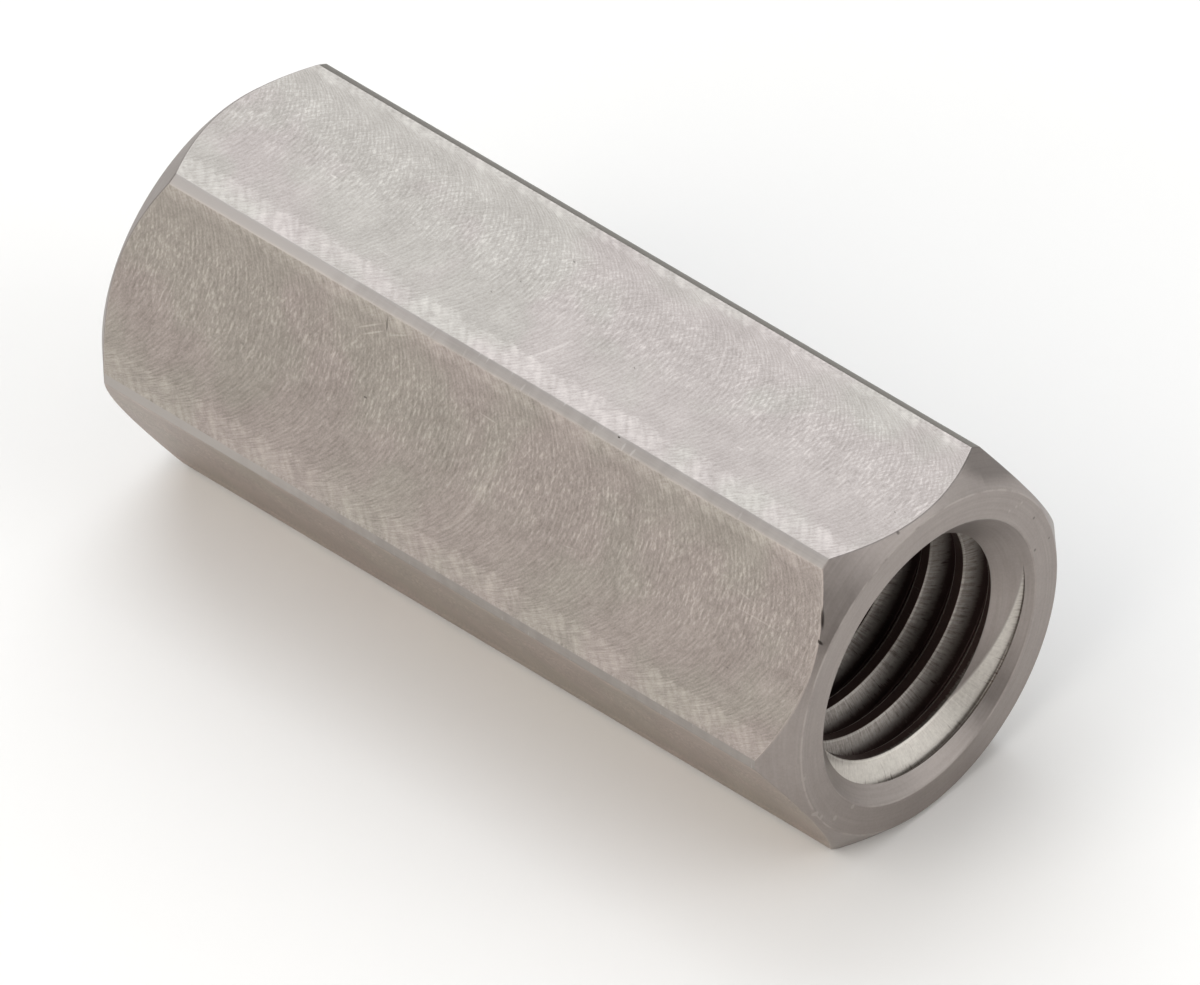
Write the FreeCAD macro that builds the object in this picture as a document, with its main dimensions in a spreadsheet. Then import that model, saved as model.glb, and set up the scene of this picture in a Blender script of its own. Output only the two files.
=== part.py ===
import FreeCAD, Part
import os
import Sketcher

# Reducing coupling nut, lying on one flat of its hexagon.
# The axis runs along X and the end with the large thread points to +X.
# The origin is on the bottom flat, halfway along, with +Z up.
#
# It is made the way the real one is: a round bar is turned to length with a
# chamfer at each end, drilled and countersunk from both ends, and then six
# flats are milled along it. The bar is a little wider than the flats need to
# meet, so a narrow strip of its round skin is left at each corner.
# The two bores have the size that the threads' crests leave free.

SIZES = [
    # alias, millimetres or degrees, what it is
    ("length", "49.4", "length of the nut, end face to end face"),
    ("across_flats", "20.64", "width of the hexagon, flat to flat"),
    ("bar_diameter", "23.45", "round bar that the hexagon is milled from"),
    ("chamfer_angle", "45", "slope of both end chamfers, from the axis"),
    ("large_face_diameter", "20.05", "flat end face at the large thread"),
    ("small_face_diameter", "20.05", "flat end face at the small thread"),
    ("large_thread_diameter", "15.875", "nominal size of the large thread"),
    ("large_thread_pitch", "2.309", "one turn of the large thread"),
    ("large_mouth_diameter", "16.7", "countersink at the large thread"),
    ("large_bore_depth", "26", "full width of the large bore, from its end face"),
    ("small_thread_diameter", "12.7", "nominal size of the small thread"),
    ("small_thread_pitch", "1.954", "one turn of the small thread"),
    ("small_mouth_diameter", "13.5", "countersink at the small thread"),
    ("countersink_angle", "90", "full angle of both countersinks"),
    ("drill_point_angle", "118", "full angle of the step between the bores"),
    ("crest_factor", "1.0825", "pitches by which a bore is narrower than its thread"),
    ("mill_overlap", "1", "how far the flat cutter runs past the bar"),
]

FLAT_COUNT = 6
FULL_TURN = 360

# Radii and depths that several outlines share, worked out from the sizes
BAR_RADIUS = "sizes.bar_diameter / 2"
LARGE_FACE_RADIUS = "sizes.large_face_diameter / 2"
SMALL_FACE_RADIUS = "sizes.small_face_diameter / 2"
LARGE_MOUTH_RADIUS = "sizes.large_mouth_diameter / 2"
SMALL_MOUTH_RADIUS = "sizes.small_mouth_diameter / 2"
LARGE_BORE_RADIUS = "(sizes.large_thread_diameter - sizes.crest_factor * sizes.large_thread_pitch) / 2"
SMALL_BORE_RADIUS = "(sizes.small_thread_diameter - sizes.crest_factor * sizes.small_thread_pitch) / 2"
AXIS_HEIGHT = "sizes.across_flats / 2"


def make_sheet(doc):
    """Write the driving sizes to a spreadsheet, one row each."""
    sheet = doc.addObject("Spreadsheet::Sheet", "sizes")
    for row, (alias, value, meaning) in enumerate(SIZES, start=1):
        sheet.set(f"A{row}", alias)
        sheet.set(f"B{row}", value)
        sheet.set(f"C{row}", meaning)
        sheet.setAlias(f"B{row}", alias)
    doc.recompute()
    return sheet


def origin_feature(body, role):
    """Return the body's own origin plane or axis with this role."""
    return next(item for item in body.Origin.OriginFeatures if item.Role == role)


def cone_run(inner, outer, half_angle):
    """Length along the axis of a cone between two radii, as an expression."""
    return f"(({outer}) - ({inner})) / tan({half_angle})"


def closed_outline(body, label, plane, corners):
    """Sketch a closed outline whose corners are pairs of expressions."""
    sketch = body.newObject("Sketcher::SketchObject", label)
    sketch.AttachmentSupport = [(origin_feature(body, plane), "")]
    sketch.MapMode = "FlatFace"
    points = [
        FreeCAD.Vector(*(float(sketch.evalExpression(text)) for text in corner))
        for corner in corners
    ]
    count = len(points)
    for index, point in enumerate(points):
        sketch.addGeometry(Part.LineSegment(point, points[(index + 1) % count]))
    for index in range(count):
        sketch.addConstraint(Sketcher.Constraint("Coincident", index, 2, (index + 1) % count, 1))
    for index, (point, corner) in enumerate(zip(points, corners)):
        for kind, value, text in zip(("DistanceX", "DistanceY"), point, corner):
            place = sketch.addConstraint(Sketcher.Constraint(kind, -1, 1, index, 1, value))
            sketch.setExpression(f"Constraints[{place}]", text)
    return sketch


def turned_bar(body):
    """Round bar with a chamfer at each end, turned about the axis."""
    large_chamfer = cone_run(LARGE_FACE_RADIUS, BAR_RADIUS, "sizes.chamfer_angle")
    small_chamfer = cone_run(SMALL_FACE_RADIUS, BAR_RADIUS, "sizes.chamfer_angle")
    outline = closed_outline(body, "bar_outline", "XZ_Plane", [
        ("0", "0"),
        ("0", SMALL_FACE_RADIUS),
        (small_chamfer, BAR_RADIUS),
        (f"sizes.length - {large_chamfer}", BAR_RADIUS),
        ("sizes.length", LARGE_FACE_RADIUS),
        ("sizes.length", "0"),
    ])
    bar = body.newObject("PartDesign::Revolution", "turned_bar")
    bar.Profile = outline
    bar.ReferenceAxis = (outline, ["H_Axis"])
    bar.Angle = FULL_TURN
    return bar


def small_bore(body):
    """Drilled and countersunk bore from the small end to the step."""
    countersink = cone_run(SMALL_BORE_RADIUS, SMALL_MOUTH_RADIUS, "sizes.countersink_angle / 2")
    step = "sizes.length - sizes.large_bore_depth"
    return bored(body, "small_bore", [
        ("0", "0"),
        ("0", SMALL_MOUTH_RADIUS),
        (countersink, SMALL_BORE_RADIUS),
        (step, SMALL_BORE_RADIUS),
        (step, "0"),
    ])


def large_bore(body):
    """Drilled and countersunk bore from the large end, with its drill point."""
    countersink = cone_run(LARGE_BORE_RADIUS, LARGE_MOUTH_RADIUS, "sizes.countersink_angle / 2")
    point = cone_run("0", LARGE_BORE_RADIUS, "sizes.drill_point_angle / 2")
    step = "sizes.length - sizes.large_bore_depth"
    return bored(body, "large_bore", [
        ("sizes.length", "0"),
        ("sizes.length", LARGE_MOUTH_RADIUS),
        (f"sizes.length - {countersink}", LARGE_BORE_RADIUS),
        (step, LARGE_BORE_RADIUS),
        (f"{step} - {point}", "0"),
    ])


def bored(body, label, corners):
    """Cut a round hollow whose half section has these corners."""
    outline = closed_outline(body, f"{label}_outline", "XZ_Plane", corners)
    hollow = body.newObject("PartDesign::Groove", label)
    hollow.Profile = outline
    hollow.ReferenceAxis = (outline, ["H_Axis"])
    hollow.Angle = FULL_TURN
    return hollow


def milled_flats(body):
    """One flat milled along the bar, repeated round the axis to the hexagon."""
    side = f"{BAR_RADIUS} + sizes.mill_overlap"
    outline = closed_outline(body, "flat_outline", "YZ_Plane", [
        (f"-({side})", AXIS_HEIGHT),
        (side, AXIS_HEIGHT),
        (side, side),
        (f"-({side})", side),
    ])
    flat = body.newObject("PartDesign::Pocket", "top_flat")
    flat.Profile = outline
    flat.Type = "ThroughAll"
    flat.SideType = "Symmetric"
    body.Document.recompute()
    flats = body.newObject("PartDesign::PolarPattern", "hexagon")
    flats.Originals = [flat]
    flats.Axis = (origin_feature(body, "X_Axis"), [""])
    flats.Angle = FULL_TURN
    flats.Occurrences = FLAT_COUNT
    body.Tip = flats
    return flats


def coupling_nut(doc):
    """The whole nut: one solid, turned, bored and milled from one bar."""
    body = doc.addObject("PartDesign::Body", "coupling_nut")
    body.setExpression("Placement.Base.x", "-sizes.length / 2")
    body.setExpression("Placement.Base.z", AXIS_HEIGHT)
    volumes = []
    for make in (turned_bar, small_bore, large_bore, milled_flats):
        make(body)
        doc.recompute()
        volumes.append(body.Shape.Volume)
    if sorted(volumes, reverse=True) != volumes or len(set(volumes)) < len(volumes):
        raise ValueError(f"a cut took nothing away: {volumes}")
    return body


def check(doc, bodies):
    """Stop if any object is broken or any body isn't one closed solid."""
    broken = [item.Label for item in doc.Objects if {"Invalid", "Error"} & set(item.State)]
    if broken:
        raise ValueError(f"broken objects: {broken}")
    for body in bodies:
        if body.Shape.isNull() or not body.Shape.isValid() or len(body.Shape.Solids) != 1:
            raise ValueError(f"{body.Label} is not one sound solid")


doc = FreeCAD.newDocument("reducing_coupling_nut")
make_sheet(doc)
bodies = [coupling_nut(doc)]
check(doc, bodies)
os.makedirs("parts", exist_ok=True)
for body in bodies:
    body.Shape.exportStep(f"parts/{body.Label}.step")
    box = body.Shape.BoundBox
    print(body.Label, round(body.Shape.Volume, 1), [round(side, 3) for side in (
        box.XMin, box.XMax, box.YMin, box.YMax, box.ZMin, box.ZMax)])
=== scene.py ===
"""Reducing coupling nut: a long steel hexagon nut with a large thread at its
near end (+X) and a smaller one at its far end (-X), lying on one flat.

The sizes are worked out in millimetres and go into the meshes in metres.
"""

import math

import bpy
import numpy as np
from mathutils import Matrix, Vector


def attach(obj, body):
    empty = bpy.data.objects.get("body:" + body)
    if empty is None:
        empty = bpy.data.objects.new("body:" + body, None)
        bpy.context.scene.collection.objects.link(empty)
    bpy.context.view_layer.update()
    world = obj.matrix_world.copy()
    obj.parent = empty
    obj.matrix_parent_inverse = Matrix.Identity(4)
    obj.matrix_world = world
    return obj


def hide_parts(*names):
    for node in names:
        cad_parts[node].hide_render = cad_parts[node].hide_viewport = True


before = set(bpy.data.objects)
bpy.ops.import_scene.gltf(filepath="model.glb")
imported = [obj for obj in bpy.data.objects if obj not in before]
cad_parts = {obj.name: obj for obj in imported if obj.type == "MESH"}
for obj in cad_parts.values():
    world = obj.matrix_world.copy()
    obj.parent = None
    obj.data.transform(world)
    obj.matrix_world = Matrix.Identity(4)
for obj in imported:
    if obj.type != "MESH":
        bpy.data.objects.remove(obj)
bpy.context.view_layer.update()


# ---------------------------------------------------------------------------
# Coupling nut
# One piece of stainless steel, uncoated. A round bar is turned to length
# with a chamfer at each end, drilled and countersunk, tapped from both ends,
# and then milled to a hexagon that leaves a strip of bar at each corner.
# ---------------------------------------------------------------------------
MM_PER_METRE = 1000.0
LENGTH = 49.4
FLAT_DISTANCE = 20.64 / 2
AXIS_HEIGHT = FLAT_DISTANCE
BAR_RADIUS = 23.45 / 2
FACE_RADIUS = 20.05 / 2
EDGE_BREAK = 0.045

# Each bore: the end it opens at, its thread's pitch, outer radius and crest radius,
# the mouth of its countersink, the depth of the first groove on the -Y side, and
# how far in from its own end the grid is fine, the thread begins and ends to fade,
# and the bore goes on. The small thread runs out into the large bore unfaded.
LARGE_BORE = dict(end=1, pitch=2.309, outer=7.9375, crest=6.688, mouth=8.35,
                  first_groove=1.573, fine=5.4, fading=20.0, faded=24.4, depth=26.0)
SMALL_BORE = dict(end=-1, pitch=1.954, outer=6.35, crest=5.2924, mouth=6.75,
                  first_groove=1.2, fine=4.2, fading=30.0, faded=40.0, depth=22.5613)
# Half the groove's width at the crests and at its root, as shares of the pitch
HALF_GROOVE, HALF_ROOT = 0.375, 0.025

# The grid: degrees from a strip's edge to the column beside it and to the first one
# that divides the flat, and how many divide half a flat, the body and a bore
BESIDE_EDGE, FIRST_ON_FLAT = 0.16, 0.6
HALF_FLAT_COLUMNS, BODY_ROWS, BORE_COLUMNS = 16, 105, 180


def steps_round_the_bar():
    """Angles of the outside's columns, in degrees from the -Y side upwards, and
    half the angle of a strip: 30 less the angle whose cosine is the flat's
    distance over the bar's radius. A sixth of a turn has the bar's strip in its
    middle, at 0, 60, 120 and so on: three columns close together round off each
    edge of the strip, and the flat between two strips is divided evenly."""
    strip = 30 - math.degrees(math.acos(FLAT_DISTANCE / BAR_RADIUS))
    half = np.concatenate([[strip - BESIDE_EDGE, strip, strip + BESIDE_EDGE],
                           np.linspace(strip + FIRST_ON_FLAT, 30, HALF_FLAT_COLUMNS)])
    sixth = np.concatenate([-half[::-1], [-0.5 * strip, 0.5 * strip], half[:-1]])
    turns = np.concatenate([sixth + 60 * k for k in range(6)])
    return np.append(turns, turns[0] + 360), strip


# How far the flats and the bar's skin blend into each other, and how many degrees
# of a flat beside a strip the waver of its edge takes up
EDGE_BLEND = 0.009
WAVER_REACH = 3.2


def outside(angle, ragged):
    """Radius of the milled bar at an angle: the smaller of the flat's distance
    over the cosine of the angle from its middle, and the bar's own radius. The
    two blend over a hundredth of a millimetre, which breaks the edge, and the
    flat lies deeper by the ragged depth where it is near a strip."""
    from_flat = np.radians((angle % 60) - 30)
    near_strip = np.exp(-((30 - np.abs(np.degrees(from_flat))) / WAVER_REACH) ** 4)
    flat = (FLAT_DISTANCE - ragged * near_strip) / np.cos(from_flat)
    gap = np.abs(flat - BAR_RADIUS)
    return np.minimum(flat, BAR_RADIUS) - EDGE_BLEND * np.log1p(np.exp(-gap / EDGE_BLEND))


def bore_wall(depth, angle, bore):
    """Radius of a tapped bore at a depth from its end and an angle round it.
    It is the larger of the 90 degree countersink and the thread: a narrow root, a
    twentieth of the pitch wide, straight flanks and a crest flat of a quarter.
    The second result is how much wider the countersink is there."""
    turn = bore["first_groove"] + bore["end"] * bore["pitch"] * angle / 360
    phase = np.abs((((depth - turn) / bore["pitch"] + 0.5) % 1) - 0.5)
    rise = np.clip((HALF_GROOVE - phase) / (HALF_GROOVE - HALF_ROOT), 0, 1)
    fade = np.clip((bore["faded"] - depth) / (bore["faded"] - bore["fading"]), 0, 1)
    thread = bore["crest"] + (bore["outer"] - bore["crest"]) * np.minimum(rise, fade)
    countersink = bore["mouth"] - depth
    return np.maximum(thread, countersink), countersink - thread


def grid_triangles(rows, columns, across=False):
    """Two triangles for each cell of a grid whose points are numbered row by
    row. They face along the columns' direction crossed with the rows'. A cell
    is cut from its first corner to its last, or between the other two where
    it is cut across."""
    first = (np.arange(rows - 1)[:, None] * columns + np.arange(columns - 1)).ravel()
    a, b, c, d = first, first + 1, first + columns, first + columns + 1
    return np.concatenate([np.stack([np.where(across, b, a), d, c], 1),
                           np.stack([a, b, np.where(across, c, d)], 1)])


def moved_to_border(depth, over):
    """Move the nearest point of each column to each border between countersink
    and thread, which is where the countersink's excess over the thread, taken
    as straight between two rows, is nought. Also say which points these are."""
    row, column = np.nonzero((over[:-1] > 0) != (over[1:] > 0))
    share = over[row, column] / (over[row, column] - over[row + 1, column])
    border = depth[row, column] * (1 - share) + depth[row + 1, column] * share
    nearest = row + (share > 0.5)
    moved, on_border = depth.copy(), np.zeros(depth.shape, bool)
    moved[nearest, column], on_border[nearest, column] = border, True
    return moved, on_border


def zipped_triangles(outer_angles, inner_angles):
    """Triangles between two rings of one flat face that have different numbers
    of points: each edge of one ring joins the point of the other ring that is
    reached when the middles of all edges are counted off by angle."""
    outer_middle = (outer_angles[1:] + outer_angles[:-1]) / 2
    inner_middle = (inner_angles[1:] + inner_angles[:-1]) / 2
    o, i = np.arange(len(outer_middle)), np.arange(len(inner_middle))
    to_inner = np.searchsorted(inner_middle, outer_middle)
    to_outer = np.searchsorted(outer_middle, inner_middle)
    n = len(outer_angles)
    return np.concatenate([np.stack([o + 1, o, n + to_inner], 1),
                           np.stack([to_outer, n + i, n + i + 1], 1)])


def round_the_axis(x, radius, angle):
    """Points at a place along the axis, a distance from it and an angle round it."""
    x, radius, a = np.broadcast_arrays(x, radius, np.radians(angle))
    return np.stack([x, -radius * np.cos(a), AXIS_HEIGHT + radius * np.sin(a)], -1)


# The finishes, in the order of the material slots
MILLED, BAR_SKIN, TURNED, TAPPED = range(4)
patches = []


def add_patch(points, triangles, finish, place=0.0):
    """Keep one sheet of the surface: its points, its triangles, the finish of
    each triangle, and each triangle corner's place on its own flat or strip."""
    points_before = sum(len(earlier) for earlier, *_ in patches)
    patches.append((points.reshape(-1, 3), triangles + points_before,
                    np.broadcast_to(finish, len(triangles)),
                    np.broadcast_to(place, (len(triangles), 3, 3))))


# The outside: from a ring on the near face, over the near chamfer, along the
# flats and strips, over the far chamfer, to a ring on the far face.
angle, half_strip = steps_round_the_bar()
along = np.linspace(0, 1, BODY_ROWS)
# The cutter's marks run out over each edge, so the edges waver: each of the twelve
# has five waves of about 1 to 7 mm, a few thousandths of a millimetre high, which
# die out at both ends.
EDGES, WAVES = 12, 5
WAVE_HEIGHT, WAVE_RATE, WAVE_START = (0, 0.0014), (40, 280), (0, 6.28)
MEAN_WAVER = 0.003
chance = np.random.default_rng(11)
size, rate, start = (chance.uniform(low, high, (EDGES, WAVES, 1))
                     for low, high in (WAVE_HEIGHT, WAVE_RATE, WAVE_START))
waver = MEAN_WAVER + (size * np.sin(rate * along + start)).sum(1)
waver *= np.sin(math.pi * along) ** 0.5
edge_number = np.floor(angle / 30).astype(int) % EDGES
body_radius = outside(angle[None, :], waver[edge_number].T)
end_radius = outside(angle, 0.0)[None, :]
body_end = LENGTH / 2 - (end_radius - FACE_RADIUS) - EDGE_BREAK
body_x = body_end * (1 - 2 * along[:, None])
# the rings on a face, and those on a chamfer, as shares of the way over it; the
# chamfer stops short of the flat by the broken edge, less what its lean of 45
# degrees takes off
CHAMFER_LEAN = 0.7
face_rings = np.array([8.95, 9.5, FACE_RADIUS - EDGE_BREAK])
cone_share = np.array([0.0, 0.35, 0.7, 1.0])[:, None]
face_rows = face_rings[:, None] + 0 * angle[None, :]
cone_rows = ((FACE_RADIUS + EDGE_BREAK) * (1 - cone_share)
             + (end_radius - EDGE_BREAK * CHAMFER_LEAN) * cone_share)
cone_x = LENGTH / 2 - (cone_rows - FACE_RADIUS)
face_x = LENGTH / 2 + 0 * face_rows
radius = np.concatenate([face_rows, cone_rows, body_radius, cone_rows[::-1], face_rows[::-1]])
x = np.concatenate([face_x, cone_x, body_x, -cone_x[::-1], -face_x[::-1]])
rows, columns = radius.shape
triangles = grid_triangles(rows, columns)
row_middle = (triangles // columns).mean(1)
corner_angle = angle[triangles % columns]
angle_middle = corner_angle.mean(1)
end_rows = len(face_rows) + len(cone_rows)
on_body = (row_middle > end_rows) & (row_middle < rows - 1 - end_rows)
in_strip = np.abs((angle_middle + 30) % 60 - 30) < half_strip
finish = np.where(on_body, np.where(in_strip, BAR_SKIN, MILLED), TURNED)
# a corner's place: mm from the far end, mm across, and the number of the flat or
# strip, which is the angle of its middle in steps of 30 degrees
middle = np.where(in_strip, np.round(angle_middle / 60) * 60,
                  np.floor(angle_middle / 60) * 60 + 30)
number = np.round(middle / 30) % 12
corner_x = x.ravel()[triangles]
across = radius.ravel()[triangles] * np.sin(np.radians(middle[:, None] - corner_angle))
place = np.stack([corner_x + LENGTH / 2, across, number[:, None] + 0 * corner_x], -1)
add_patch(round_the_axis(x, radius, angle[None, :]), triangles, finish, place)

# The bores: the rows of points follow the thread's helix, and are held between two
# plain rings, so that the mesh has the thread's true edges. A turn has a row at
# either side of each edge of its form and one half-way up each flank.
bore_angle = angle[0] + np.linspace(0, 360, BORE_COLUMNS + 1)
coarse = np.array([0.015, 0.035, 0.20, 0.36, 0.39, 0.61, 0.64, 0.80, 0.965, 0.985])
fine = np.union1d(coarse, np.arange(36) / 36)
ROUNDING = 1e-6
for bore in (LARGE_BORE, SMALL_BORE):
    end, pitch = bore["end"], bore["pitch"]
    # an order of corners that faces the axis in one bore faces away in the other
    facing_axis, facing_out = slice(None, None, -end), slice(None, None, end)
    for start, stop, stations in ((EDGE_BREAK, bore["fine"], fine),
                                  (bore["fine"], min(bore["faded"], bore["depth"]), coarse)):
        turns = np.arange(-2, int(stop / pitch) + 3)
        helix = (turns[:, None] + stations[None, :]).ravel() * pitch + bore["first_groove"]
        depth = np.clip(helix[:, None] + end * pitch * bore_angle[None, :] / 360, start, stop)
        depth, on_border = moved_to_border(depth, bore_wall(depth, bore_angle, bore)[1])
        wall, over = bore_wall(depth, bore_angle, bore)
        across = on_border[:-1, 1:] & on_border[1:, :-1]
        triangles = grid_triangles(*depth.shape, across.ravel())[:, facing_axis]
        smooth = (over > -ROUNDING).ravel()[triangles].all(1)
        add_patch(round_the_axis(end * (LENGTH / 2 - depth), wall, bore_angle),
                  triangles, np.where(smooth, TURNED, TAPPED))

    # the broken edge at the mouth, and the flat face out to the outside's ring
    depth = np.array([[0.0], [EDGE_BREAK]])
    mouth = np.array([[bore["mouth"] + EDGE_BREAK], [bore["mouth"] - EDGE_BREAK]])
    add_patch(round_the_axis(end * (LENGTH / 2 - depth), mouth, bore_angle),
              grid_triangles(2, BORE_COLUMNS + 1)[:, facing_axis], TURNED)
    ring = np.concatenate([round_the_axis(end * LENGTH / 2, face_rings[0], angle),
                           round_the_axis(end * LENGTH / 2, mouth[0], bore_angle)])
    add_patch(ring, zipped_triangles(angle, bore_angle)[:, facing_out], TURNED)

# The plain end of the large bore and the drill point's cone down to the small one
step_depth = np.array([LARGE_BORE["faded"], 25.2, 25.95, 26.05, 26.4, 26.8387])
step_radius = np.array([LARGE_BORE["crest"]] * 3 + [6.605, 6.023, SMALL_BORE["crest"]])
step_rows = step_radius[:, None] + 0 * bore_angle[None, :]
step_rows[-1] = bore_wall(SMALL_BORE["depth"], bore_angle, SMALL_BORE)[0]
add_patch(round_the_axis(LENGTH / 2 - step_depth[:, None], step_rows, bore_angle),
          grid_triangles(*step_rows.shape)[:, ::-1], TURNED)

# Weld the sheets where their points meet, and drop triangles that have closed up
WELD_GRID = 1.37e-5
points, triangles, finish, place = (np.concatenate(kind) for kind in zip(*patches))
_, first, welded = np.unique(np.round(points / WELD_GRID).astype(np.int64), axis=0,
                             return_index=True, return_inverse=True)
points, triangles = points[first], welded.ravel()[triangles]
whole = (triangles != np.roll(triangles, 1, axis=1)).all(1)
triangles, finish, place = triangles[whole], finish[whole], place[whole]

SHARP_EDGE = math.radians(12)
nut_mesh = bpy.data.meshes.new("coupling_nut_machined")
nut_mesh.vertices.add(len(points))
nut_mesh.vertices.foreach_set("co", (points / MM_PER_METRE).ravel())
nut_mesh.loops.add(triangles.size)
nut_mesh.loops.foreach_set("vertex_index", triangles.ravel().astype(np.int32))
nut_mesh.polygons.add(len(triangles))
nut_mesh.polygons.foreach_set("loop_start", np.arange(0, triangles.size, 3, dtype=np.int32))
nut_mesh.polygons.foreach_set("material_index", finish.astype(np.int32))
nut_mesh.attributes.new("place_on_flat", "FLOAT_VECTOR", "CORNER").data.foreach_set(
    "vector", place.astype(np.float32).ravel())
nut_mesh.update(calc_edges=True)
nut_mesh.validate()
nut_mesh.shade_smooth()
nut_mesh.set_sharp_from_angle(angle=SHARP_EDGE)
nut = bpy.data.objects.new("coupling_nut_machined", nut_mesh)
bpy.context.scene.collection.objects.link(nut)


def linear(colour):
    """Turn an sRGB hex colour into the linear values that a shader takes."""
    value = np.array([int(colour[i:i + 2], 16) / 255 for i in (1, 3, 5)])
    return (*np.where(value <= 0.04045, value / 12.92, ((value + 0.055) / 1.055) ** 2.4), 1.0)


def give(tree, made, links):
    """Give each socket of a node its value or link."""
    for name, value in links.items():
        if isinstance(value, bpy.types.NodeSocket):
            tree.links.new(value, made.inputs[name])
        else:
            made.inputs[name].default_value = value


def node(tree, kind, settings=None, links=None):
    """Add a node, set its properties, and give each socket its value or link."""
    made = tree.nodes.new(kind)
    for name, value in (settings or {}).items():
        setattr(made, name, value)
    give(tree, made, links or {})
    return made


def steel(name):
    """Give the nut a new material: an empty tree, its metal shader and its output."""
    material = bpy.data.materials.new(name)
    nut_mesh.materials.append(material)
    material.use_nodes = True
    tree = material.node_tree
    tree.nodes.clear()
    shader = node(tree, "ShaderNodeBsdfPrincipled", None, {"Metallic": 1.0})
    node(tree, "ShaderNodeOutputMaterial", None, {"Surface": shader.outputs[0]})
    return tree, shader


def maths(tree, operation, *values):
    """The result of one sum on values or sockets."""
    return node(tree, "ShaderNodeMath", {"operation": operation},
                dict(enumerate(values))).outputs[0]


def ranged(tree, value, start, stop, low=0.0, high=1.0, kind="LINEAR"):
    """Low where the value is at the start, high where it is at the stop, and in
    proportion between the two."""
    return node(tree, "ShaderNodeMapRange", {"interpolation_type": kind},
                dict(enumerate((value, start, stop, low, high)))).outputs[0]


def eased(tree, value, start, stop, low=0.0, high=1.0):
    """The same, with a soft beginning and a soft end."""
    return ranged(tree, value, start, stop, low, high, "SMOOTHSTEP")


def noise(tree, space, scale, detail, roughness):
    """Cloudy noise from 0 to 1, its main lumps one over the scale apart."""
    return node(tree, "ShaderNodeTexNoise", None, {
        "Vector": space, "Scale": scale, "Detail": detail, "Roughness": roughness}).outputs[0]


def blended(tree, share, first, second, kind="MIX"):
    """The first colour with a share of the second laid over it."""
    return node(tree, "ShaderNodeMix", {"data_type": "RGBA", "blend_type": kind},
                {"Factor": share, "A": first, "B": second}).outputs["Result"]


def added(tree, tone, marks):
    """A tone with some marks added, each times its own share."""
    for made, share in marks:
        tone = maths(tree, "MULTIPLY_ADD", made, share, tone)
    return tone


def space_of(tree, x, y, z):
    """A place made of three values."""
    return node(tree, "ShaderNodeCombineXYZ", None, {0: x, 1: y, 2: z}).outputs[0]


def parts_of(tree, space):
    """The three values that a place is made of."""
    return node(tree, "ShaderNodeSeparateXYZ", None, {0: space}).outputs


def scaled(tree, space, scale, shift=(0.0, 0.0, 0.0), turn=0.0):
    """A place multiplied along each side by the scale, which makes a pattern finer
    there, then turned by an angle in degrees and moved by the shift."""
    return node(tree, "ShaderNodeMapping", None, {
        0: space, "Scale": scale, "Location": shift,
        "Rotation": (0.0, 0.0, math.radians(turn))}).outputs[0]


def vector_maths(tree, operation, *vectors):
    """The node of one sum on places."""
    return node(tree, "ShaderNodeVectorMath", {"operation": operation}, dict(enumerate(vectors)))


def place_on_flat(tree):
    """The place on a flat or strip: mm from the far end, mm across, and its number."""
    return node(tree, "ShaderNodeAttribute", {"attribute_name": "place_on_flat"}).outputs["Vector"]


def bumps(tree, height, metres, strength=1.0):
    """Surface relief as high as given, in metres, where the height is 1."""
    return node(tree, "ShaderNodeBump", None, {
        "Strength": strength, "Distance": metres, "Height": height}).outputs[0]


def mark(tree, space, middle, half_size, turn=0.0):
    """1 in the middle of an ellipse with these half sizes, falling to 0 at its
    border: the distance from its middle, divided along each side by the half
    size, after turning by an angle in degrees."""
    placed = node(tree, "ShaderNodeMapping", {"vector_type": "TEXTURE"}, {
        0: space, "Location": middle, "Scale": half_size,
        "Rotation": (0.0, 0.0, math.radians(turn))}).outputs[0]
    return eased(tree, vector_maths(tree, "LENGTH", placed).outputs["Value"], 1.0, 0.4)


# Numbers of the flats and strips that have marks or a tone of their own; a mark
# reaches less than one number to either side
LEFT_FLAT, UPPER_STRIP, TOP_FLAT, BACK_STRIP, BACK_FLAT, BOTTOM_FLAT = 1, 2, 3, 4, 5, 9
ONE_NUMBER = 0.4


def marks_on(tree, space, rows):
    """Marks and their shares, from rows of the flat or strip, the middle along and
    across it, the two half sizes, the turn in degrees and the share."""
    return [(mark(tree, space, (*middle, side), (*half_size, ONE_NUMBER), turn), share)
            for side, middle, half_size, turn, share in rows]


# Milled flats: bright stainless steel as an end mill leaves it. Each tooth draws an
# arc, so the arcs of one feed after another cross the flat and bulge towards the
# near end. They give the eye fine slanting lines, and short flecks of painted glint
# where they cross the fainter arcs of the cutter's trailing side.
FEED, TRAILING_FEED = 0.29, 0.38
CUTTER_RADIUS = 6.3
CUTTER_SIDE = 0.9
# the trailing side's band: how far its middle lies off the flat's, and the
# distances from there at which its marks are faint and full
BAND_MIDDLE, BAND_FAINT, BAND_FULL = -1.5, 3.6, 1.2
# where the second pass and the brushed fringe begin and are full, across the flat
SECOND_PASS_BORDER, FRINGE_BORDER = (4.70, 5.15), (-5.25, -5.65)

tree, shader = steel("steel_milled_flat")
flat_place = place_on_flat(tree)
along_flat, across_flat, which_flat = parts_of(tree, flat_place)
# patches of 1 to 3 mm, in which the marks are stronger or fainter
blotches = noise(tree, flat_place, scale=0.45, detail=3.0, roughness=0.55)
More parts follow.
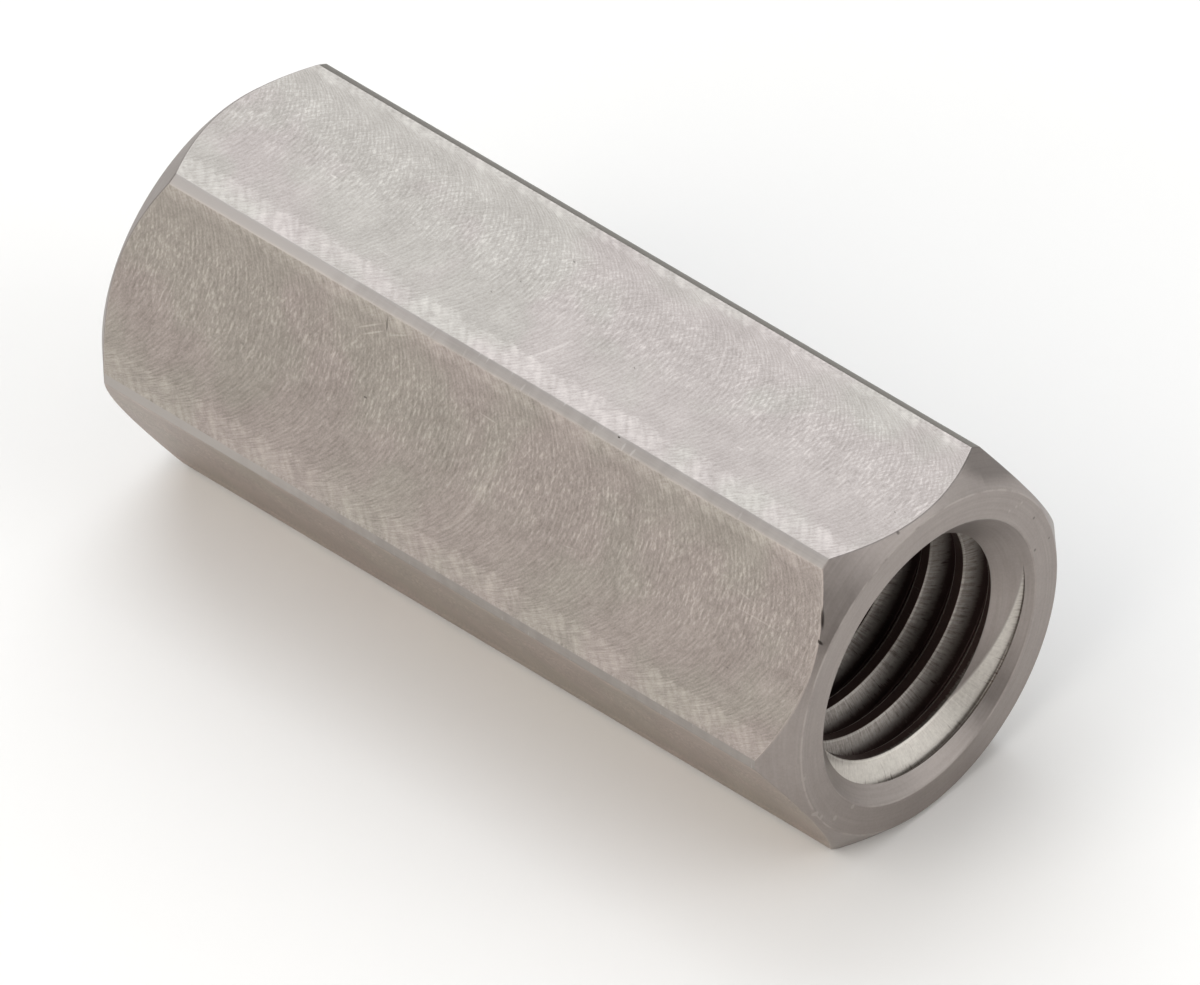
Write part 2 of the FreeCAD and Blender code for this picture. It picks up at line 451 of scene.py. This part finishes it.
# an arc's point lags behind its foremost one by the radius less its reach, which
# is the root of the radius squared less the distance from the middle squared; the
# cutter runs off the flat's middle to one side and the other in turn
turnabout = maths(tree, "MODULO", which_flat, 4.0)
cutter_middle = maths(tree, "MULTIPLY_ADD", turnabout, CUTTER_SIDE, -2 * CUTTER_SIDE)
off_middle = maths(tree, "SUBTRACT", across_flat, cutter_middle)
squared = maths(tree, "MULTIPLY", off_middle, off_middle)
reach = maths(tree, "SQRT", maths(tree, "SUBTRACT", CUTTER_RADIUS ** 2, squared))
unsteady = maths(tree, "MULTIPLY_ADD", blotches, 0.25, along_flat)
leading = maths(tree, "SUBTRACT", unsteady, reach)
trailing = maths(tree, "ADD", unsteady, reach)
# streaks that follow the arcs, an eighth of a millimetre wide and three times as
# long, those of the trailing side a little larger, and a fine grain over them
leading_space = space_of(tree, leading, across_flat, which_flat)
streaks = noise(tree, scaled(tree, leading_space, (1.0, 0.34, 9.0)),
                scale=7.5, detail=2.0, roughness=0.7)
trailing_space = space_of(tree, trailing, across_flat, which_flat)
cross_streaks = noise(tree, scaled(tree, trailing_space, (1.0, 0.30, 9.0), (0.0, 0.0, 40.0)),
                      scale=6.0, detail=2.0, roughness=0.6)
fine_grain = noise(tree, flat_place, scale=9.0, detail=2.0, roughness=0.7)


def lines_apart(tree, place, pitch):
    """Lines a pitch apart: 1 on each of them, falling evenly to 0 half-way between."""
    return maths(tree, "MULTIPLY", maths(tree, "PINGPONG", place, pitch / 2), 2 / pitch)


# the feed lines themselves, one to each tooth, of the cutter's two sides
feed_lines = lines_apart(tree, leading, FEED)
trail_lines = lines_apart(tree, trailing, TRAILING_FEED)
# short flecks of painted glint, lighter in colour, stand where the lines of both
# sides are high, in the band that the trailing side cuts
off_band = maths(tree, "ABSOLUTE", maths(tree, "ADD", across_flat, -BAND_MIDDLE))
fleck_band = eased(tree, off_band, BAND_FAINT, BAND_FULL, 0.12, 1.0)
crossing = maths(tree, "MULTIPLY", maths(tree, "SUBTRACT", cross_streaks, 0.5), fleck_band)
lines_crossed = maths(tree, "MULTIPLY", feed_lines, trail_lines)
both = maths(tree, "MULTIPLY_ADD", crossing, 0.9, streaks)
raised = maths(tree, "MULTIPLY_ADD", lines_crossed, 0.22, both)
crowding = eased(tree, blotches, 0.34, 0.60, 0.35, 1.0)
painted_glint_flecks = maths(tree, "MULTIPLY", eased(tree, raised, 0.60, 0.82),
               maths(tree, "MULTIPLY", fleck_band, crowding))
# the second pass: a band along one edge, made of slanting leaf-shaped scallops 0.7 mm
# apart with a feathered border and a finer hatch over them, painted lighter as a painted sheen
slant = maths(tree, "MULTIPLY_ADD", across_flat, -0.75, along_flat)
scallop_space = scaled(tree, space_of(tree, slant, across_flat, which_flat), (1.0, 0.45, 5.0))
scallops = noise(tree, scallop_space, scale=1.15, detail=2.0, roughness=0.55)
leaf_border = node(tree, "ShaderNodeTexVoronoi", {"feature": "DISTANCE_TO_EDGE"},
                   {"Vector": scallop_space, "Scale": 1.5}).outputs[0]
leaves = eased(tree, leaf_border, 0.0, 0.34)
hatch_turned = scaled(tree, flat_place, (1.0, 1.0, 3.0), turn=34)
hatch = noise(tree, scaled(tree, hatch_turned, (0.16, 1.0, 1.0)),
              scale=7.5, detail=1.0, roughness=0.6)
border = maths(tree, "MULTIPLY_ADD", scallops, 0.9, across_flat)
feathered = maths(tree, "MULTIPLY_ADD", streaks, 0.7, border)
second_pass = eased(tree, feathered, *SECOND_PASS_BORDER)
# the other edge: a fringe half a millimetre wide where the burr was brushed off
fringe_border = maths(tree, "MULTIPLY_ADD", scallops, -0.9, across_flat)
fringe = eased(tree, fringe_border, *FRINGE_BORDER)
brushed = maths(tree, "MAXIMUM", second_pass, fringe)
# both bands are painted lighter than the flat, a painted sheen over their real scallops and hatch
band_scallops_and_sheen = added(tree, -0.27, ((leaves, 0.16), (scallops, 0.34), (hatch, 0.38)))
banded_scallops_and_sheen = maths(tree, "MULTIPLY", brushed, band_scallops_and_sheen)
# a painted highlight at the ends: a thin light line where the flat meets a chamfer,
# whose place is the end less the chamfer's depth there, half the length plus the
# face's radius less the root of the flat's distance squared plus the place across squared
across_squared = maths(tree, "MULTIPLY_ADD", across_flat, across_flat, FLAT_DISTANCE ** 2)
corner_radius = maths(tree, "SQRT", across_squared)
from_half = maths(tree, "ABSOLUTE", maths(tree, "SUBTRACT", along_flat, LENGTH / 2))
to_chamfer = maths(tree, "SUBTRACT", LENGTH / 2 + FACE_RADIUS,
                   maths(tree, "ADD", corner_radius, from_half))
ragged_end = maths(tree, "MULTIPLY_ADD", streaks, 0.20, to_chamfer)
painted_end_highlight = eased(tree, ragged_end, 0.21, 0.12)
# single marks: stray arcs of the cutter, light nicks and scratches, and dark pits
stray_arcs = marks_on(tree, leading_space, (
    (LEFT_FLAT, (20.35, 1.0), (0.24, 4.4), 0, 0.17),
    (TOP_FLAT, (20.20, 2.9), (0.15, 1.9), 0, 0.17),
    (TOP_FLAT, (27.90, -2.0), (0.12, 1.5), 0, 0.14)))
light_marks = marks_on(tree, flat_place, (
    (LEFT_FLAT, (25.30, -3.35), (0.75, 0.06), 2, 0.29),
    (LEFT_FLAT, (19.35, -1.90), (0.75, 0.06), -79, 0.23),
    (LEFT_FLAT, (16.45, -4.45), (1.00, 0.07), -33, 0.32),
    (LEFT_FLAT, (16.80, -4.20), (0.85, 0.07), -33, 0.36),
    (LEFT_FLAT, (18.35, -4.80), (0.85, 0.07), -26, 0.24),
    (LEFT_FLAT, (15.00, -4.75), (0.60, 0.04), 42, 0.16),
    (LEFT_FLAT, (44.90, -1.35), (1.95, 0.06), -1, 0.18),
    (LEFT_FLAT, (43.80, -2.10), (0.80, 0.07), 8, 0.19),
    (LEFT_FLAT, (32.60, 0.58), (0.50, 0.04), -8, 0.19),
    (LEFT_FLAT, (23.10, 2.80), (0.30, 0.05), -70, 0.22),
    (TOP_FLAT, (8.20, 0.40), (0.30, 0.09), 0, 0.32),
    (TOP_FLAT, (14.20, 3.08), (0.95, 0.04), 0, 0.16),
    (TOP_FLAT, (38.55, 2.27), (0.32, 0.08), 0, 0.18),
    (TOP_FLAT, (47.80, 1.66), (0.90, 0.04), 0, 0.14)))
dark_marks = marks_on(tree, flat_place, (
    (LEFT_FLAT, (17.65, -0.84), (0.15, 0.07), 0, 0.62),
    (LEFT_FLAT, (17.45, -5.00), (0.50, 0.06), 72, 0.50),
    (LEFT_FLAT, (9.30, 0.09), (0.16, 0.09), 0, 0.22),
    (LEFT_FLAT, (44.20, 1.85), (0.10, 0.06), 0, 0.37),
    (TOP_FLAT, (22.30, -2.83), (0.12, 0.06), 30, 0.56),
    (TOP_FLAT, (21.20, 0.12), (0.10, 0.04), 30, 0.50),
    (TOP_FLAT, (20.55, 1.69), (0.13, 0.04), 30, 0.50),
    (TOP_FLAT, (30.20, 1.23), (0.13, 0.04), 35, 0.50),
    (TOP_FLAT, (44.60, 0.54), (0.30, 0.07), 25, 0.15),
    (TOP_FLAT, (47.90, 0.71), (0.12, 0.06), 20, 0.37)))
# brightness of the bare steel, from all these marks, painted glints and highlights among them
tone = added(tree, -0.56, (
    (streaks, 0.82), (fine_grain, 0.54), (crossing, 0.55), (feed_lines, 0.10), (painted_glint_flecks, 0.22),
    (blotches, 0.38), (banded_scallops_and_sheen, 1.0), (painted_end_highlight, 0.30), *stray_arcs, *light_marks))
bare = blended(tree, tone, linear("#847E7A"), linear("#C4BEBA"))
# the steel's own hue drifts a little between pinkish and greenish, 6 mm apart
drift = noise(tree, flat_place, scale=0.16, detail=2.0, roughness=0.5)
hue = blended(tree, eased(tree, drift, 0.42, 0.58), linear("#FFFBFA"), linear("#FDFDF9"))
tinted = blended(tree, 1.0, bare, hue, "MULTIPLY")
# the bottom flat and the one to each side of it, whose numbers are two more and two
# less, are painted a little darker and browner, a painted shade of the underside
underside_shade_mask = maths(tree, "COMPARE", which_flat, BOTTOM_FLAT, 2.5)
underside_painted_shade = blended(tree, underside_shade_mask, tinted, linear("#FAF3EC"), "MULTIPLY")
# the relief: ridges and streaks a few thousandths of a millimetre high
height = added(tree, 0.0, ((both, 2.2), (fine_grain, 1.0), (feed_lines, 0.6)))
give(tree, shader, {
    "Base Color": blended(tree, added(tree, 0.0, dark_marks), underside_painted_shade, linear("#2E2825")),
    "Roughness": ranged(tree, streaks, 0.3, 0.7, 0.40, 0.50),
    "Normal": bumps(tree, height, 0.0000026)})

# Bar skin: the drawn and polished surface of the bar, left at the corners. It is
# smoother than the flats, with soft bands and light ticks across it where the
# cutter's teeth ran out, faint drawing lines and a few nicks.
tree, shader = steel("steel_bar_skin")
strip_place = place_on_flat(tree)
strip_along, _, which_strip = parts_of(tree, strip_place)
lines = noise(tree, scaled(tree, strip_place, (0.35, 5.0, 3.0)),
              scale=2.0, detail=3.0, roughness=0.6)
nick_noise = noise(tree, scaled(tree, strip_place, (2.6, 0.35, 7.0)),
                   scale=1.7, detail=1.0, roughness=0.5)
skin_nicks = eased(tree, nick_noise, 0.66, 0.74)
bands = noise(tree, scaled(tree, strip_place, (1.0, 0.25, 3.0)),
              scale=0.9, detail=3.0, roughness=0.6)
# the strips are painted paler towards the far end, a painted highlight
painted_far_end_highlight = eased(tree, strip_along, 24.0, 9.0)
ticks = marks_on(tree, strip_place, [
    (UPPER_STRIP, (place_along, 0.1), (0.30, 0.09), lean, share)
    for place_along, lean, share in (
        (20.2, 96, 0.24), (22.5, 80, 0.20), (26.6, 95, 0.36), (31.6, 80, 0.28),
        (33.65, 88, 0.48), (34.3, 100, 0.52), (41.8, 84, 0.24), (12.0, 20, 0.32))])
strip_pit = mark(tree, strip_place, (33.1, -0.22, UPPER_STRIP), (0.10, 0.06, ONE_NUMBER))
skin_tone = added(tree, -0.05, (
    (lines, 0.35), (bands, 0.85), (skin_nicks, 0.4), (painted_far_end_highlight, 0.5), *ticks))
skin_colour = blended(tree, skin_tone, linear("#86807B"), linear("#ABA5A0"))
# the strip behind the top flat is painted darker than the others, a painted shade
back_strip_shade_mask = maths(tree, "COMPARE", which_strip, BACK_STRIP, 0.5)
skin_with_painted_shade = blended(tree, back_strip_shade_mask, skin_colour, linear("#757069"))
give(tree, shader, {
    "Base Color": blended(tree, strip_pit, skin_with_painted_shade, linear("#463F3A")),
    "Roughness": 0.36,
    "Normal": bumps(tree, skin_tone, 0.000003, 0.6)})


def round_axis_space(tree):
    """Places in mm from the axis's middle, and what they make: the place along the
    axis, the distance from it, the angle round it, and the place straight out."""
    solid_place = node(tree, "ShaderNodeTexCoord").outputs["Object"]
    from_axis = scaled(tree, solid_place, (MM_PER_METRE,) * 3, (0.0, 0.0, -AXIS_HEIGHT))
    along_axis, sideways, upwards = parts_of(tree, from_axis)
    outwards = space_of(tree, 0.0, sideways, upwards)
    distance = vector_maths(tree, "LENGTH", outwards).outputs["Value"]
    return from_axis, along_axis, distance, maths(tree, "ARCTAN2", upwards, sideways), outwards


def marks_on_end(tree, space, rows):
    """Round marks on the near end and their shares, from rows of the distance back
    from its face, the radius, the angle in degrees from the -Y side upwards, the
    half size and the share."""
    marks = []
    for set_back, radius, angle, half_size, share in rows:
        a = math.radians(angle)
        middle = (LENGTH / 2 - set_back, -radius * math.cos(a), radius * math.sin(a))
        marks.append((mark(tree, space, middle, (half_size,) * 3), share))
    return marks


# Turned ends: faces, chamfers and countersinks as the turning tool leaves them, a
# little duller than the flats, with fine rings round the axis 0.1 mm apart, a thin
# painted highlight along the rims and a few nicks.
tree, shader = steel("steel_turned")
from_axis, along_axis, ring_radius, ring_angle, _ = round_axis_space(tree)
ring_space = space_of(tree, ring_radius, along_axis, ring_angle)
rings = noise(tree, scaled(tree, ring_space, (1.0, 0.6, 0.22)),
              scale=8.0, detail=2.0, roughness=0.6)
cloud = noise(tree, from_axis, scale=0.55, detail=4.0, roughness=0.6)
grit = noise(tree, from_axis, scale=6.0, detail=2.0, roughness=0.6)
# painted highlights on the rims of the end faces: a hair's breadth along the face's
# and the countersink's edges, in stretches of a few millimetres
stretches = eased(tree, cloud, 0.36, 0.60)
painted_rim_highlights = []
for rim_radius, share in ((FACE_RADIUS, 1.0), (LARGE_BORE["mouth"], 0.3)):
    from_rim = maths(tree, "ABSOLUTE", maths(tree, "SUBTRACT", ring_radius, rim_radius))
    painted_rim_highlights.append((maths(tree, "MULTIPLY", eased(tree, from_rim, 0.07, 0.01), stretches), share))
end_nicks = marks_on_end(tree, from_axis, (
    (0.00, 9.98, -7.0, 0.17, 0.9), (0.05, 10.06, -25.5, 0.26, 1.0),
    (0.00, 9.47, -36.4, 0.20, 0.8), (0.00, 8.52, -42.9, 0.18, 0.8),
    (0.00, 9.90, -29.0, 0.16, 0.8), (0.00, 9.30, 138.6, 0.12, 0.5),
    (0.00, 8.95, 136.0, 0.12, 0.5), (0.00, 9.62, 140.4, 0.12, 0.5)))
pits = marks_on_end(tree, from_axis, (
    (0.37, 10.40, 80.4, 0.13, 0.55), (0.81, 10.83, -45.1, 0.15, 0.7),
    (0.00, 9.41, 152.1, 0.12, 0.5), (0.00, 9.69, 167.0, 0.09, 0.45),
    (0.00, 8.60, 165.8, 0.12, 0.5)))
# painted shadow of a burr on the rim of the left flat, a dark crescent and a notch
# beside it, and painted shade on the chamfer round the corner behind the top flat
painted_burr_shadow_and_chamfer_shade = marks_on(tree, place_on_flat(tree), (
    (LEFT_FLAT, (48.65, -3.20), (0.72, 0.10), 70, 0.85),
    (LEFT_FLAT, (48.97, -1.98), (0.24, 0.10), 35, 0.85),
    (TOP_FLAT, (48.3, -6.0), (1.05, 2.6), 0, 0.42),
    (BACK_STRIP, (48.3, 0.0), (1.05, 3.0), 0, 0.42),
    (BACK_FLAT, (48.3, 5.0), (1.05, 4.5), 0, 0.42)))
turned_tone = added(tree, -0.45, (
    (rings, 0.65), (cloud, 0.8), (grit, 0.45), *painted_rim_highlights, *end_nicks))
turned_colour = blended(tree, turned_tone, linear("#89817D"), linear("#A59D98"))
# the dark of the real pits together with the painted burr shadow and chamfer shade
pits_and_painted_shade = added(tree, 0.0, pits + painted_burr_shadow_and_chamfer_shade)
give(tree, shader, {
    "Base Color": blended(tree, pits_and_painted_shade, turned_colour, linear("#2E2825")),
    "Roughness": ranged(tree, cloud, 0.3, 0.7, 0.38, 0.48),
    "Normal": bumps(tree, rings, 0.000003)})

# Tapped threads: the tap burnishes the flanks and tears them here and there, which
# leaves fine streaks from crest to root 0.1 mm apart. The crests' edges have a painted
# highlight, and the roots and deeper grooves are painted dark as painted shade.
tree, shader = steel("steel_tapped_thread")
from_axis, along_axis, thread_radius, thread_angle, outwards = round_axis_space(tree)
tear_space = space_of(tree, thread_angle, along_axis, thread_radius)
tears = noise(tree, scaled(tree, tear_space, (17.0, 0.22, 0.22)),
              scale=4.0, detail=2.0, roughness=0.6)
grain = noise(tree, from_axis, scale=5.0, detail=3.0, roughness=0.7)
torn_patches = noise(tree, from_axis, scale=0.35, detail=2.0, roughness=0.5)
torn = eased(tree, maths(tree, "MULTIPLY_ADD", torn_patches, 0.5, tears), 0.90, 1.02)
# the first groove is left light and deeper ones are painted darker and browner, a
# painted shade that also makes them less metallic; it begins deeper towards the side given below,
# as the groove does
DEEP_SHADE_SIDE = math.radians(-65)
from_end = maths(tree, "SUBTRACT", LENGTH / 2, maths(tree, "ABSOLUTE", along_axis))
direction = vector_maths(tree, "NORMALIZE", outwards).outputs[0]
towards_side = vector_maths(tree, "DOT_PRODUCT", direction,
                            (0.0, -math.cos(DEEP_SHADE_SIDE), math.sin(DEEP_SHADE_SIDE))).outputs["Value"]
painted_deep_shade = eased(tree, added(tree, from_end, ((towards_side, -0.46),)), 1.40, 1.75)
tears_in_deep_shade = maths(tree, "MULTIPLY", maths(tree, "SUBTRACT", tears, 0.5), painted_deep_shade)
# a painted highlight along the edge of each crest and painted shade on its narrow
# flat in the deeper grooves: the edge's distance from the crest and the half widths of the edge
# and of the flat
EDGE_OFF, EDGE_HALF, FLAT_HALF = 0.06, 0.05, 0.009
crest_highlight_and_shade = []
for bore in (LARGE_BORE, SMALL_BORE):
    edge = maths(tree, "COMPARE", thread_radius, bore["crest"] + EDGE_OFF, EDGE_HALF)
    flat = maths(tree, "COMPARE", thread_radius, bore["crest"], FLAT_HALF)
    crest_highlight_and_shade += [(maths(tree, "MULTIPLY", edge, tears), 0.35),
                        (maths(tree, "MULTIPLY", flat, painted_deep_shade), -0.55)]
# painted shade towards each root, made ragged by the tears and grain
painted_root_shade = eased(tree, added(tree, thread_radius, ((tears, 0.9), (grain, 0.5), (painted_deep_shade, 0.35))),
                LARGE_BORE["outer"] + 0.38, LARGE_BORE["outer"] + 0.95)
thread_tone = added(tree, 0.36, (
    (tears, 0.4), (tears_in_deep_shade, 0.55), (grain, 0.55), (torn, -0.3), (painted_deep_shade, -0.42),
    (painted_root_shade, -0.55), *crest_highlight_and_shade))
thread_colour = blended(tree, thread_tone, linear("#52413D"), linear("#CFCAC2"))
# a groove begins where the wall lies deeper than the countersink, whose radius is
# that of its mouth less the depth from the end
own_mouth = ranged(tree, along_axis, -1.0, 1.0, SMALL_BORE["mouth"], LARGE_BORE["mouth"])
cone_radius = maths(tree, "SUBTRACT", own_mouth, from_end)
in_groove = eased(tree, maths(tree, "SUBTRACT", thread_radius, cone_radius), 0.01, 0.05)
groove_rough = ranged(tree, grain, 0.3, 0.7, 0.30, 0.46)
tear_height = maths(tree, "MULTIPLY_ADD", grain, 0.8, tears)
give(tree, shader, {
    "Base Color": blended(tree, in_groove, linear("#97908B"), thread_colour),
    "Metallic": ranged(tree, painted_deep_shade, 0.0, 1.0, 1.0, 0.65),
    "Roughness": node(tree, "ShaderNodeMix", {"data_type": "FLOAT"}, {
        "Factor": in_groove, "A": 0.43, "B": groove_rough}).outputs["Result"],
    "Normal": bumps(tree, tear_height, 0.000008)})

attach(nut, "root")
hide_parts("coupling_nut")


# ---------------------------------------------------------------------------
# Floor
# A plain white matt sheet, as under a small part in a studio.
# ---------------------------------------------------------------------------
FLOOR_HALF_WIDTH = 6.0
FLOOR_POINTS = 9
u, v = np.meshgrid(*[np.linspace(-FLOOR_HALF_WIDTH, FLOOR_HALF_WIDTH, FLOOR_POINTS)] * 2)
floor_mesh = bpy.data.meshes.new("floor")
floor_mesh.from_pydata(np.stack([u, v, 0 * u], -1).reshape(-1, 3).tolist(), [],
                       grid_triangles(FLOOR_POINTS, FLOOR_POINTS).tolist())
floor = bpy.data.objects.new("floor", floor_mesh)
bpy.context.scene.collection.objects.link(floor)
paper = bpy.data.materials.new("white_matt_paper")
paper.use_nodes = True
paper.node_tree.nodes.clear()
sheet = node(paper.node_tree, "ShaderNodeBsdfPrincipled", None,
             {"Base Color": linear("#F4F3F1"), "Roughness": 0.9, "Specular IOR Level": 0.2})
node(paper.node_tree, "ShaderNodeOutputMaterial", None, {"Surface": sheet.outputs[0]})
floor_mesh.materials.append(paper)


# ---------------------------------------------------------------------------
# Light
# A ring of soft boxes above the nut, brightest behind it and in front, and a
# dim room whose far walls are pale.
# ---------------------------------------------------------------------------
NUT_MIDDLE = Vector((0, 0, 0.01))
LAMP_DISTANCE = 1.6


def soft_box(name, direction, width, power, colour):
    """A square area lamp that faces the nut's middle from a direction."""
    lamp = bpy.data.lights.new(name, "AREA")
    lamp.shape, lamp.size = "SQUARE", width
    lamp.energy, lamp.color = power, linear(colour)[:3]
    made = bpy.data.objects.new(name, lamp)
    back = Vector(direction).normalized()
    made.matrix_world = (Matrix.Translation(NUT_MIDDLE + back * LAMP_DISTANCE)
                         @ back.to_track_quat("Z", "Y").to_matrix().to_4x4())
    made.visible_camera = False
    bpy.context.scene.collection.objects.link(made)


soft_box("soft_box_behind", (-0.505, 0.532, 0.680), 1.6, 16.4, "#F4FAFF")
soft_box("soft_box_overhead", (0.0, 0.0, 1.0), 1.6, 4.7, "#F6F8FF")
soft_box("soft_box_left_high", (-0.505, -0.323, 0.801), 1.4, 4.35, "#F7FAFF")
soft_box("soft_box_left_low", (-0.505, -0.855, 0.300), 1.2, 0.57, "#FFF0D8")
soft_box("soft_box_front", (-0.1, -0.8, 0.6), 1.4, 13.0, "#FFFBF5")
soft_box("soft_box_right", (0.80, 0.28, 0.50), 1.2, 6.9, "#FCFEFF")
soft_box("soft_box_front_right", (0.42, -0.87, 0.26), 1.0, 2.2, "#FFFCFA")
soft_box("soft_box_right_behind", (0.5, 0.8, 0.33), 1.2, 3.5, "#FAFEFF")

world = bpy.data.worlds.new("dim_room")
bpy.context.scene.world = world
world.use_nodes = True
walls = world.node_tree
walls.nodes.clear()
height_seen = parts_of(walls, node(walls, "ShaderNodeTexCoord").outputs["Generated"])[2]
above_walls = eased(walls, height_seen, 0.03, 0.10)
room = blended(walls, above_walls, linear("#E2E0DE"), linear("#7E7B78"))
light = node(walls, "ShaderNodeBackground", None, {"Color": room, "Strength": 1.0})
node(walls, "ShaderNodeOutputWorld", None, {"Surface": light.outputs[0]})


# ---------------------------------------------------------------------------
# Camera
# Seen from the near end's left and above, through a very long lens.
# ---------------------------------------------------------------------------
LENS = 999.5
SENSOR_WIDTH = 36.0
NEAREST, FARTHEST = 0.05, 60.0
CAMERA_DISTANCE = 1.74739
AIM = Vector((0.0017454, -0.0002455, 0.0088310))
AZIMUTH, ELEVATION, ROLL = (math.radians(a) for a in (43.4805, 42.8071, -2.1812))
forward = Vector((-math.sin(AZIMUTH) * math.cos(ELEVATION),
                  math.cos(AZIMUTH) * math.cos(ELEVATION), -math.sin(ELEVATION)))
level = Vector((math.cos(AZIMUTH), math.sin(AZIMUTH), 0))
upright = level.cross(forward)
right = level * math.cos(ROLL) + upright * math.sin(ROLL)
up = right.cross(forward)
lens = bpy.data.cameras.new("photograph_view")
lens.lens, lens.sensor_width, lens.sensor_fit = LENS, SENSOR_WIDTH, "HORIZONTAL"
lens.clip_start, lens.clip_end = NEAREST, FARTHEST
camera = bpy.data.objects.new("photograph_view", lens)
aimed = Matrix((right, up, -forward)).transposed().to_4x4()
camera.matrix_world = Matrix.Translation(AIM - forward * CAMERA_DISTANCE) @ aimed
bpy.context.scene.collection.objects.link(camera)
bpy.context.scene.camera = camera

bpy.context.scene.view_settings.view_transform = "Standard"
